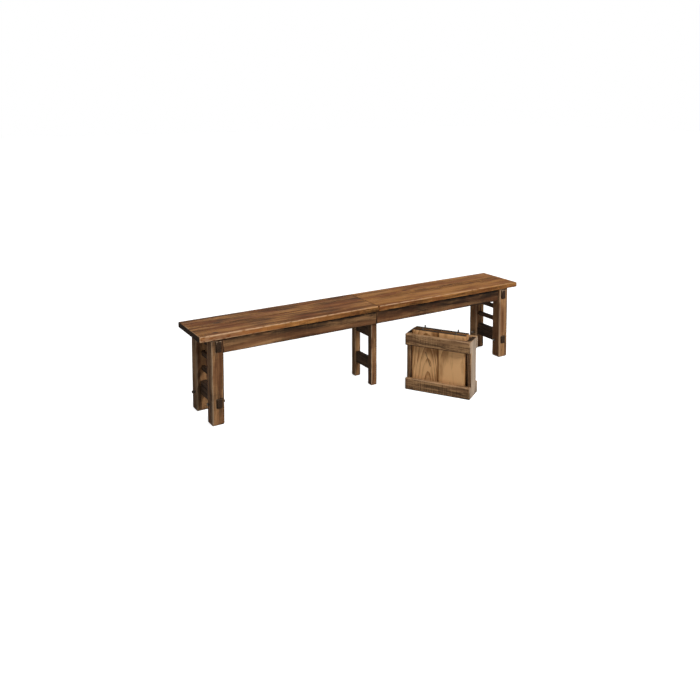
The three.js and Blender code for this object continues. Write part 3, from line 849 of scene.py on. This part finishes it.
def round_pin(start, direction, radius, reach):
    """A steel pin with a bullet nose, from a start point along X or Z."""
    way = Vector(direction)
    turn = (0, math.pi / 2, 0) if abs(way.x) > 0.5 else (0, 0, 0)
    piece = round_bar(28, radius, reach, Vector(start) + way * reach / 2, turn)
    select_faces(piece, lambda face: face.normal.dot(way) > 0.9)
    bpy.ops.mesh.bevel(offset=0.62 * radius, segments=5, profile=0.5, affect="EDGES")
    bpy.ops.object.mode_set(mode="OBJECT")
    bpy.ops.object.shade_smooth_by_angle(angle=SMOOTH_BELOW)
    return piece


def ferrule(centre, radius, height):
    """A flat steel ring with rounded edges, on a face that looks up."""
    piece = round_bar(32, radius, height, Vector(centre) + Vector((0, 0, height / 2)))
    select_faces(piece, lambda face: face.normal.z > 0.9)
    bpy.ops.mesh.inset(thickness=0.3 * radius)
    bpy.ops.mesh.extrude_region_move(TRANSFORM_OT_translate={"value": (0, 0, -0.6 * height)})
    bpy.ops.object.mode_set(mode="OBJECT")
    bevel = piece.modifiers.new("soften", "BEVEL")
    bevel.width = 0.25 * height
    bevel.segments = 2
    bevel.limit_method = "ANGLE"
    select_only(piece)
    bpy.ops.object.modifier_apply(modifier=bevel.name)
    bpy.ops.object.shade_smooth_by_angle(angle=SMOOTH_BELOW)
    return piece


def disc_head(centre, direction, radius, proud, socket=0.0):
    """A round head lying in a face, with a sunk socket if it is a screw."""
    way = Vector(direction)
    turn = way.to_track_quat("Z", "Y").to_euler()
    piece = round_bar(16 if socket else 10, radius, 2 * proud, centre, turn)
    select_faces(piece, lambda face: face.normal.dot(way) > 0.9)
    bpy.ops.mesh.bevel(offset=0.35 * proud, segments=1, affect="EDGES")
    if socket:
        select_faces(piece, lambda face: face.normal.dot(way) > 0.99)
        bpy.ops.mesh.inset(thickness=radius * (1 - socket))
        bpy.ops.mesh.extrude_region_move(TRANSFORM_OT_translate={"value": -way * proud})
    bpy.ops.object.mode_set(mode="OBJECT")
    bpy.ops.object.shade_smooth_by_angle(angle=SMOOTH_BELOW)
    return piece


def copied(piece, offset):
    """A copy of a piece with a mesh of its own, moved by an offset."""
    twin = piece.copy()
    twin.data = piece.data.copy()
    twin.data.transform(Matrix.Translation(offset))
    bpy.context.scene.collection.objects.link(twin)
    return twin


def repeated(head, centres):
    """A head made at the first of those centres, and its copies at the others."""
    return [head] + [copied(head, centre - centres[0]) for centre in centres[1:]]


def joined(pieces):
    """Joins like small parts into one piece."""
    bpy.ops.object.select_all(action="DESELECT")
    for piece in pieces:
        piece.select_set(True)
    bpy.context.view_layer.objects.active = pieces[0]
    bpy.ops.object.join()
    return bpy.context.object


class BENCH_OT_seat_boards(bpy.types.Operator):
    """Makes the four boards of the seat, rubbed pale along the front edge"""
    bl_idname = "bench.seat_boards"
    bl_label = "Seat boards"

    def execute(self, context):
        front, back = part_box("left_seat_board_front"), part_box("left_seat_board_back")
        seam = (front[1].y + back[0].y) / 2
        for side, stain, share, more, rub in (
            ("left", 0.04, -0.22, 0.62, 0.8), ("right", -0.06, -0.35, 0.15, 0.35)
        ):
            # The back arrises of the back boards are darker: painted shade where they face away
            # from the light
            for end, rub_side in (
                ("front", (-0.3 * rub, -0.7 * rub, 0.65 * rub)), ("back", (-0.3, -1, 0))
            ):
                sawn_board(
                    f"{side}_seat_board_{end}", "seat_wood", stain=stain, rub_side=rub_side,
                    rubbed_face=(OUTWARDS[end], share, more),
                    tight=lambda point: min(abs(point.y - seam), abs(point.x)) < TIGHT_BAND,
                )
        return {"FINISHED"}


class BENCH_OT_aprons(bpy.types.Operator):
    """Makes the four aprons under the long edges of the seat"""
    bl_idname = "bench.aprons"
    bl_label = "Aprons"

    def execute(self, context):
        # Painted shadow of the seat, darkest at the top of each apron; the lower arrises are
        # painted darker too, as shade under them
        shadow, shadow_reach = 1.1, 55 * MM
        for side, stain, share, more in (("left", 0.02, -0.12, 0.15), ("right", 0.1, -0.22, 0.1)):
            for end in ENDS:
                node = f"{side}_apron_{end}"
                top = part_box(node)[1].z
                sawn_board(
                    node, "frame_wood", stain=stain, rub_side=UP,
                    rubbed_face=(OUTWARDS[end], share, more), shaded=(shadow, shadow_reach),
                    tight=lambda point: point.z > top - TIGHT_BAND,
                )
        return {"FINISHED"}


class BENCH_OT_end_legs(bpy.types.Operator):
    """Makes the four square end legs"""
    bl_idname = "bench.end_legs"
    bl_label = "End legs"

    def execute(self, context):
        # Painted shadow of the seat at the top of each leg
        shadow, shadow_reach = 0.3, 60 * MM
        # Left faces painted lighter on the left legs and darker on the right legs, for how the
        # light falls on them
        for side, stain, share in (("left", 0.02, 0.2), ("right", -0.11, -0.2)):
            for end in ENDS:
                sawn_board(
                    f"{side}_leg_{end}", "frame_wood", stain=stain, rub_side=OUTWARDS["left"],
                    rubbed_face=(OUTWARDS["left"], share, 0), shaded=(shadow, shadow_reach),
                )
        return {"FINISHED"}


class BENCH_OT_end_rails(bpy.types.Operator):
    """Makes the rails, slats and stretchers between the end legs"""
    bl_idname = "bench.end_rails"
    bl_label = "End rails"

    def execute(self, context):
        # The pale tops of the proud tenons are a painted highlight
        step, tenon_proud = context.scene.bench_sizes.fine_step, 6 * MM
        for side in HALVES:
            for rail in ("top_rail", "upper_slat", "lower_slat", "stretcher"):
                sawn_board(
                    f"{side}_{rail}", "inner_wood", step=step, wear=0.6, rub_side=UP,
                    proud_ends=tenon_proud,
                )
        return {"FINISHED"}


class BENCH_OT_pegs(bpy.types.Operator):
    """Makes the dark pegs that lock the stretchers"""
    bl_idname = "bench.pegs"
    bl_label = "Pegs"

    def execute(self, context):
        step, stretch = context.scene.bench_sizes.fine_step / 2, 8 * MM
        for side in HALVES:
            for end, left in (("front", 0), ("back", stretch)):
                sawn_board(
                    f"{side}_peg_{end}", "peg_wood", step=step, wear=0.25,
                    shape=lambda piece: lengthen(piece, left, stretch),
                )
        return {"FINISHED"}


class BENCH_OT_centre_frame(bpy.types.Operator):
    """Makes the thin legs and rails that stand under the joint of the seat"""
    bl_idname = "bench.centre_frame"
    bl_label = "Centre frame"

    def execute(self, context):
        step = context.scene.bench_sizes.fine_step
        shadow_reach = 110 * MM
        # The back leg's lower stain is painted light where the seat shades it; the front leg's top
        # gets the seat's painted shadow, and both left faces painted shade
        for end, stain, shadow in (("front", 0.06, 0.6), ("back", -0.36, 0.0)):
            sawn_board(
                f"centre_leg_{end}", "frame_wood", step=1.4 * step, wear=0.8, stain=stain,
                rub_side=OUTWARDS["left"], rubbed_face=(OUTWARDS["left"], -0.7, 0),
                shaded=(shadow, shadow_reach),
            )
        for node in ("centre_rail", "centre_stretcher"):
            sawn_board(node, "inner_wood", step=step, wear=0.6)
        return {"FINISHED"}


class BENCH_OT_cleats(bpy.types.Operator):
    """Makes the cleats under the seat and the screws through them"""
    bl_idname = "bench.cleats"
    bl_label = "Cleats and screws"

    def execute(self, context):
        radius = context.scene.bench_sizes.screw_radius
        from_edge, from_middle, proud, socket = 24 * MM, 17 * MM, 0.5 * MM, 0.5
        for side in HALVES:
            centres, first = [], None
            for place in ("inner", "middle", "outer"):
                node = f"{side}_cleat_{place}"
                sawn_board(node, "inner_wood", wear=0.6)
                low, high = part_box(node)
                middle = (low.x + high.x) / 2
                for y in (low.y + from_edge, high.y - from_edge):
                    for x in (middle - from_middle, middle + from_middle):
                        centres.append(Vector((x, y, low.z)))
                first = first or disc_head(centres[0], DOWN, radius, proud, socket)
            screws = joined(repeated(first, centres))
            finished(screws, f"{side}_cleat_screws", "iron", f"{side}_half")
        return {"FINISHED"}


class BENCH_OT_slides(bpy.types.Operator):
    """Gives the wooden slides and the steel gear their finish"""
    bl_idname = "bench.slides"
    bl_label = "Slides and gear"

    def execute(self, context):
        wooden = ["slide_member_front", "slide_member_back", "slide_tie_left", "slide_tie_right"]
        wooden += [f"{side}_{lane}_runner" for side in HALVES for lane in ("inner", "outer")]
        for node in wooden:
            finish(frame["nodes"][node], "slide_wood")
        for node in ("left_rack", "right_rack", "pinion", "pinion_axle"):
            finish(frame["nodes"][node], "steel")
        return {"FINISHED"}


class BENCH_OT_joint_pins(bpy.types.Operator):
    """Makes the two steel pins in the joint of the seat"""
    bl_idname = "bench.joint_pins"
    bl_label = "Joint pins"

    def execute(self, context):
        radius = context.scene.bench_sizes.pin_radius
        for end in ENDS:
            node = f"joint_pin_{end}"
            low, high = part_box(node)
            middle = (low + high) / 2
            start = (high.x, middle.y, middle.z)
            pin = round_pin(start, OUTWARDS["left"], radius, high.x - low.x)
            finished(pin, node + "_turned", "black_steel", BODY_OF[node])
            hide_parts(node)
        return {"FINISHED"}


class BENCH_OT_crate(bpy.types.Operator):
    """Makes the crate: two sides, four bands, a floor and the brads that hold them"""
    bl_idname = "bench.crate"
    bl_label = "Crate"

    def execute(self, context):
        step = 0.8 * context.scene.bench_sizes.step
        # The bare outer faces and band ends are sanded wood, painted paler and greyer as light from
        # the right
        for side, share in (("left", -0.35), ("right", 0)):
            sawn_board(
                f"crate_side_{side}", "crate_wood", step=step, bare_sides=(OUTWARDS[side],),
                rub_side=UP, rubbed_face=(OUTWARDS["front"], share, 0),
            )
        sawn_board("crate_floor", "crate_wood")
        for face in ENDS:
            for level, stain in (("bottom", 0.06), ("top", 0.01)):
                sawn_board(
                    f"crate_band_{face}_{level}", "crate_wood", step=step, stain=stain,
                    bare_sides=(OUTWARDS["left"], OUTWARDS["right"]), rub_side=UP,
                )
        self.brads(context.scene.bench_sizes.brad_radius)
        return {"FINISHED"}

    def brads(self, radius):
        """Two brads at each end of each band, in line with the side boards."""
        from_end, from_edge, proud = 11 * MM, 15 * MM, 0.25 * MM
        spin = Matrix.Rotation(CRATE_TURN, 3, "Z")
        heads = []
        for face in ENDS:
            centres = []
            for level in ("bottom", "top"):
                points = coordinates(frame["nodes"][f"crate_band_{face}_{level}"].data)
                square = into_board(points, "crate")
                low, high = square.min(0), square.max(0)
                depth = low[1] if face == "front" else high[1]
                for x in (low[0] + from_end, high[0] - from_end):
                    for z in (low[2] + from_edge, high[2] - from_edge):
                        centres.append(spin @ Vector((x, depth, z)))
            first = disc_head(centres[0], spin @ Vector(OUTWARDS[face]), radius, proud)
            heads += repeated(first, centres)
        finished(joined(heads), "crate_brads", "iron", "centre_frame")


class BENCH_OT_leaves(bpy.types.Operator):
    """Makes the four boards of the two leaves, and their steel pins in ferrules"""
    bl_idname = "bench.leaves"
    bl_label = "Leaves"

    def execute(self, context):
        sizes = context.scene.bench_sizes
        for face in ENDS:
            pins, ferrules = [], []
            for side, stain, pith, resin in (
                ("left", 0.08, (0.42, -0.012, 0.035), ((0.22, 0.06), (-0.25, 0.42))),
                ("right", -0.1, (0.4, 0.03, 0.3), None),
            ):
                node = f"{face}_leaf_board_{side}"
                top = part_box(node)[1].z - sizes.pin_reach
                just_below, just_above = top - 0.02 * MM, top + 0.1 * MM
                # Their outer ends are painted pale: painted light
                sawn_board(
                    node, "leaf_wood", step=0.8 * sizes.step, wear=0.7,
                    shape=lambda piece: cut_above(piece, just_below), stain=stain, pith=pith,
                    bare_sides=(OUTWARDS[face],), bleed=sizes.stain_bleed,
                    rubbed_face=(OUTWARDS[side], 0.8, 0), resin=resin,
                )
                points = coordinates(frame["nodes"][node].data)
                tip = points[points[:, 2] > just_above]
                x, y = (tip.min(0)[:2] + tip.max(0)[:2]) / 2
                foot = (x, y, top - sizes.pin_reach)
                pins.append(round_pin(foot, UP, sizes.pin_radius, 2 * sizes.pin_reach))
                ferrules.append(ferrule((x, y, top), sizes.ferrule_radius, sizes.ferrule_height))
            for made, word in ((pins, "pins"), (ferrules, "ferrules")):
                group = joined(made)
                finished(group, f"{face}_leaf_{word}", "black_steel", f"{face}_leaf")
        return {"FINISHED"}


# Camera of the photograph: its place from the floor under the middle of the seat's front edge
CAMERA_FROM_SEAT = (-2.22325, -3.35129, 1.57504)
CAMERA_YAW = math.radians(32.37)
CAMERA_PITCH = math.radians(5)
CAMERA_LENS = 38.895
CAMERA_SHIFT = (-0.0196, -0.2637)

# Soft boxes: place, size in metres and power in watts, and the middle of the bench they look at
LAMPS = {
    "key": ((1.1, -4.4, 3.4), 1.6, 270),
    "fill": ((-3.6, -2.6, 2.4), 3.0, 6),
    "rim": ((0.5, 4.2, 3.6), 3.0, 25),
}
LAMP_AIM = (0, 0.1, 0.25)


class BENCH_OT_stage(bpy.types.Operator):
    """Makes the pale floor, the soft studio light and the camera"""
    bl_idname = "bench.stage"
    bl_label = "Stage"

    def execute(self, context):
        scene = context.scene
        floor_size, under_feet = 60, -0.2 * MM
        bpy.ops.object.select_all(action="DESELECT")
        bpy.ops.mesh.primitive_plane_add(size=floor_size, location=(0, 0, under_feet))
        floor = context.object
        floor.name = "studio_floor"
        floor.data.materials.append(self.floor_paint())
        for name in LAMPS:
            self.lamp(name, *LAMPS[name])
        self.sky(scene)
        camera = bpy.data.cameras.new("camera")
        camera.lens = CAMERA_LENS
        camera.shift_x, camera.shift_y = CAMERA_SHIFT
        eye = bpy.data.objects.new("camera", camera)
        scene.collection.objects.link(eye)
        seat_edge = Vector((0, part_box("left_seat_board_front")[0].y, 0))
        eye.location = seat_edge + Vector(CAMERA_FROM_SEAT)
        eye.rotation_euler = (math.pi / 2 - CAMERA_PITCH, 0, -CAMERA_YAW)
        scene.camera = eye
        scene.view_settings.view_transform = "Standard"
        return {"FINISHED"}

    def lamp(self, name, place, size, power):
        """A soft box that looks at the middle of the bench."""
        data = bpy.data.lights.new(name, "AREA")
        data.size = size
        data.energy = power
        lamp = bpy.data.objects.new(name, data)
        bpy.context.scene.collection.objects.link(lamp)
        lamp.location = place
        aim = Vector(LAMP_AIM) - Vector(place)
        lamp.rotation_euler = aim.to_track_quat("-Z", "Y").to_euler()

    def floor_paint(self):
        """Matt white studio paint, which the camera sees brighter so that it ends in white."""
        material, tree, shader = new_material("matt_studio_paint")
        place = add(tree, "TexCoord").outputs["Object"]
        roller = streaks(tree, place, 14, 14, 2)
        shader.inputs["Base Color"].default_value = (*chosen("floor"), 1)
        shader.inputs["Roughness"].default_value = 0.9
        bump = add(tree, "Bump", {"Height": roller, "Strength": 0.05, "Distance": 0.2 * MM})
        tree.links.new(bump.outputs[0], shader.inputs["Normal"])
        seen = add(tree, "LightPath").outputs["Is Camera Ray"]
        lift = add(tree, "Math", {0: seen, 1: 0.9}, operation="MULTIPLY").outputs[0]
        shader.inputs["Emission Color"].default_value = (1, 1, 1, 1)
        tree.links.new(lift, shader.inputs["Emission Strength"])
        return material

    def sky(self, scene):
        """White to the camera and in reflections, and a soft grey light on the bench."""
        world = bpy.data.worlds.new("studio")
        scene.world = world
        world.use_nodes = True
        tree = world.node_tree
        background = tree.nodes["Background"]
        path = add(tree, "LightPath").outputs
        seen = path["Is Camera Ray"]
        for ray in ("Is Transmission Ray", "Is Glossy Ray"):
            seen = add(tree, "Math", {0: seen, 1: path[ray]}, operation="MAXIMUM").outputs[0]
        strength = add(tree, "MapRange", {"Value": seen, "To Min": 0.17, "To Max": 1}).outputs[0]
        background.inputs["Color"].default_value = (1, 1, 1, 1)
        tree.links.new(strength, background.inputs["Strength"])


OPERATORS = (
    BENCH_OT_stage, BENCH_OT_seat_boards, BENCH_OT_aprons, BENCH_OT_end_legs, BENCH_OT_end_rails,
    BENCH_OT_pegs, BENCH_OT_centre_frame, BENCH_OT_cleats, BENCH_OT_slides, BENCH_OT_joint_pins,
    BENCH_OT_crate, BENCH_OT_leaves,
)


class BENCH_PT_panel(bpy.types.Panel):
    """Lists the pieces of the bench with their sizes and colours"""
    bl_label = "Extending bench"
    bl_idname = "BENCH_PT_panel"
    bl_space_type = "VIEW_3D"
    bl_region_type = "UI"
    bl_category = "Bench"

    def draw(self, context):
        for kind in OPERATORS:
            self.layout.operator(kind.bl_idname)
        for group in (context.scene.bench_sizes, context.scene.bench_colours):
            for name in group.__annotations__:
                self.layout.prop(group, name)


CLASSES = (BenchColours, BenchSizes, *OPERATORS, BENCH_PT_panel)


def register():
    for kind in CLASSES:
        bpy.utils.register_class(kind)
    bpy.types.Scene.bench_colours = bpy.props.PointerProperty(type=BenchColours)
    bpy.types.Scene.bench_sizes = bpy.props.PointerProperty(type=BenchSizes)


def unregister():
    del bpy.types.Scene.bench_sizes
    del bpy.types.Scene.bench_colours
    for kind in reversed(CLASSES):
        bpy.utils.unregister_class(kind)


def main():
    """Builds the stage and every piece."""
    register()
    bpy.ops.bench.stage()
    bpy.ops.bench.seat_boards()
    bpy.ops.bench.aprons()
    bpy.ops.bench.end_legs()
    bpy.ops.bench.end_rails()
    bpy.ops.bench.pegs()
    bpy.ops.bench.centre_frame()
    bpy.ops.bench.cleats()
    bpy.ops.bench.slides()
    bpy.ops.bench.joint_pins()
    bpy.ops.bench.crate()
    bpy.ops.bench.leaves()


if __name__ == "__main__":
    main()
